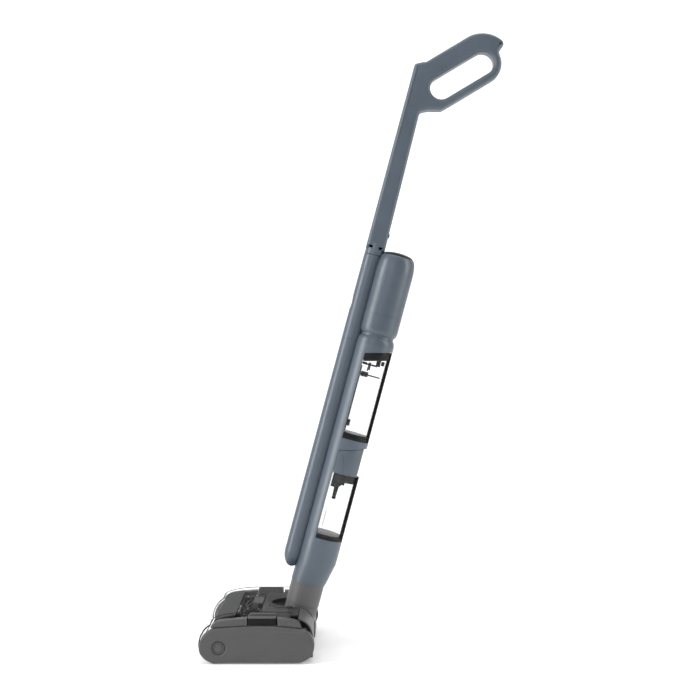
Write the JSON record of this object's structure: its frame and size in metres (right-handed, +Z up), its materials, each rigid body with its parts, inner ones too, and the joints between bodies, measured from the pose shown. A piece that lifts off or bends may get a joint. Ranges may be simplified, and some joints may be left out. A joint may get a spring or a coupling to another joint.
{
  "type": "wet dry floor scrubber",
  "caption": "Cordless upright wet dry floor scrubber with loop handle, motor can, two clear lift-out tanks and a roller head under a clear cover, parked leaning back.",
  "frame": {"origin": "centre of the overall box at floor level", "axes": "+Z up, -Y towards the roller at the front, +Y towards the user and the handle, +X the object's left side"},
  "size_m": [0.25, 0.5358, 1.1002],
  "materials": {
    "head_grey": "satin moulded dark grey plastic",
    "block_grey": "satin mid grey plastic",
    "motor_metal": "bare metal motor cans, fan and pulleys",
    "rubber_black": "black rubber",
    "steel_plate": "plain steel ballast plate",
    "steel": "bright steel",
    "black_plastic": "satin black plastic",
    "pile": "short grey microfibre pile",
    "clear": "clear polycarbonate",
    "neck_grey": "satin grey plastic",
    "body_blue": "satin blue-grey plastic",
    "cell": "shrink-wrapped cells",
    "board": "green circuit board",
    "button_grey": "soft grey buttons"
  },
  "bodies": {
    "head": {"chassis": "head_grey", "side_cover_left": "head_grey", "side_cover_right": "head_grey", "side_rail_left": "head_grey", "side_rail_right": "head_grey", "roller_shroud": "head_grey", "top_deck": "head_grey", "neck_collar": "head_grey", "drive_block": "block_grey", "roller_motor": "motor_metal", "drive_belt": "rubber_black", "base_weight": "steel_plate", "squeegee": "rubber_black", "scraper": "steel", "spray_bar": "black_plastic", "wheel_axles": "steel", "base_screws": "steel"},
    "roller": {"roller_core": "black_plastic", "roller_sleeve": "pile", "roller_pulley": "motor_metal"},
    "motor_drive": {"motor_pulley": "motor_metal"},
    "wheel_l": {"wheel_left": "black_plastic"},
    "wheel_r": {"wheel_right": "black_plastic"},
    "roller_button": {"roller_release_button": "head_grey"},
    "top_cover": {"clear_cover": "clear"},
    "latch_l": {"cover_latch_left": "black_plastic"},
    "latch_r": {"cover_latch_right": "black_plastic"},
    "neck": {"neck_knuckle": "neck_grey"},
    "stem": {"neck_tube": "neck_grey", "boot": "body_blue", "spine": "body_blue", "tank_divider": "body_blue", "shoulder": "body_blue", "lower_tube": "body_blue", "battery_cells": "cell", "can_shell": "body_blue", "can_cap": "black_plastic", "suction_motor": "motor_metal", "control_board": "board", "water_pump": "black_plastic", "dirty_pipe": "black_plastic"},
    "fan": {"impeller": "motor_metal"},
    "upper_pole": {"pole_upper": "body_blue", "handle_loop": "body_blue", "display_panel": "black_plastic"},
    "power_key": {"power_button": "button_grey"},
    "mode_key": {"mode_button": "button_grey"},
    "pole_key": {"pole_release_button": "black_plastic"},
    "dirty_tank": {"dirty_tank_shell": "clear", "dirty_tank_lid": "black_plastic", "dirty_tank_base": "black_plastic", "dirty_tank_rail": "black_plastic", "riser_pipe": "clear"},
    "float": {"float_block": "black_plastic"},
    "clean_tank": {"clean_tank_shell": "clear", "clean_tank_cap": "body_blue", "clean_tank_plug": "black_plastic", "pickup_pipe": "black_plastic", "clean_tank_base": "black_plastic", "clean_tank_rail": "black_plastic"}
  },
  "joints": [
    {"name": "roller_spin", "type": "hinge", "parent": "head", "child": "roller", "pos_m": [0, -0.23108, 0.0271], "axis": [1, 0, 0], "continuous": true},
    {"name": "motor_spin", "type": "hinge", "parent": "head", "child": "motor_drive", "pos_m": [0, -0.14588, 0.036], "axis": [1, 0, 0], "continuous": true},
    {"name": "wheel_l_spin", "type": "hinge", "parent": "head", "child": "wheel_l", "pos_m": [0, -0.08388, 0.012], "axis": [1, 0, 0], "continuous": true},
    {"name": "wheel_r_spin", "type": "hinge", "parent": "head", "child": "wheel_r", "pos_m": [0, -0.08388, 0.012], "axis": [1, 0, 0], "continuous": true},
    {"name": "roller_button_press", "type": "slide", "parent": "head", "child": "roller_button", "axis": [-1, 0, 0], "range_m": [0, 0.0025], "stiffness_N_per_m": 400, "springref_m": -0.0008},
    {"name": "top_cover_lift", "type": "slide", "parent": "head", "child": "top_cover", "axis": [0, 0, 1], "range_m": [0, 0.04]},
    {"name": "latch_l_press", "type": "slide", "parent": "head", "child": "latch_l", "axis": [-1, 0, 0], "range_m": [0, 0.003], "stiffness_N_per_m": 400, "springref_m": -0.0008},
    {"name": "latch_r_press", "type": "slide", "parent": "head", "child": "latch_r", "axis": [1, 0, 0], "range_m": [0, 0.003], "stiffness_N_per_m": 400, "springref_m": -0.0008},
    {"name": "neck_pitch", "type": "hinge", "parent": "head", "child": "neck", "pos_m": [0, -0.10188, 0.048], "axis": [-1, 0, 0], "range_deg": [-13, 55]},
    {"name": "neck_steer", "type": "hinge", "parent": "neck", "child": "stem", "pos_m": [0, -0.09373, 0.07843], "axis": [0, 0.2588, 0.9659], "range_deg": [-40, 40]},
    {"name": "fan_spin", "type": "hinge", "parent": "stem", "child": "fan", "pos_m": [0, 0.05355, 0.59449], "axis": [0, 0.2588, 0.9659], "continuous": true},
    {"name": "pole_pull", "type": "slide", "parent": "stem", "child": "upper_pole", "axis": [0, 0.2588, 0.9659], "range_m": [0, 0.05]},
    {"name": "power_press", "type": "slide", "parent": "upper_pole", "child": "power_key", "axis": [0, 0.515, -0.8572], "range_m": [0, 0.001], "stiffness_N_per_m": 400, "springref_m": -0.0008},
    {"name": "mode_press", "type": "slide", "parent": "upper_pole", "child": "mode_key", "axis": [0, 0.515, -0.8572], "range_m": [0, 0.001], "stiffness_N_per_m": 400, "springref_m": -0.0008},
    {"name": "pole_key_press", "type": "slide", "parent": "upper_pole", "child": "pole_key", "axis": [0, -0.9659, 0.2588], "range_m": [0, 0.0025], "stiffness_N_per_m": 400, "springref_m": -0.0008},
    {"name": "dirty_tank_pull", "type": "slide", "parent": "stem", "child": "dirty_tank", "axis": [0, 0.9659, -0.2588], "range_m": [0, 0.11]},
    {"name": "float_rise", "type": "slide", "parent": "dirty_tank", "child": "float", "axis": [0, 0.2588, 0.9659], "range_m": [0, 0.012]},
    {"name": "clean_tank_pull", "type": "slide", "parent": "stem", "child": "clean_tank", "axis": [0, 0.9659, -0.2588], "range_m": [0, 0.11]}
  ],
  "couplings": [
    {"joint": "motor_spin", "follows": "roller_spin", "ratio": 2}
  ]
}
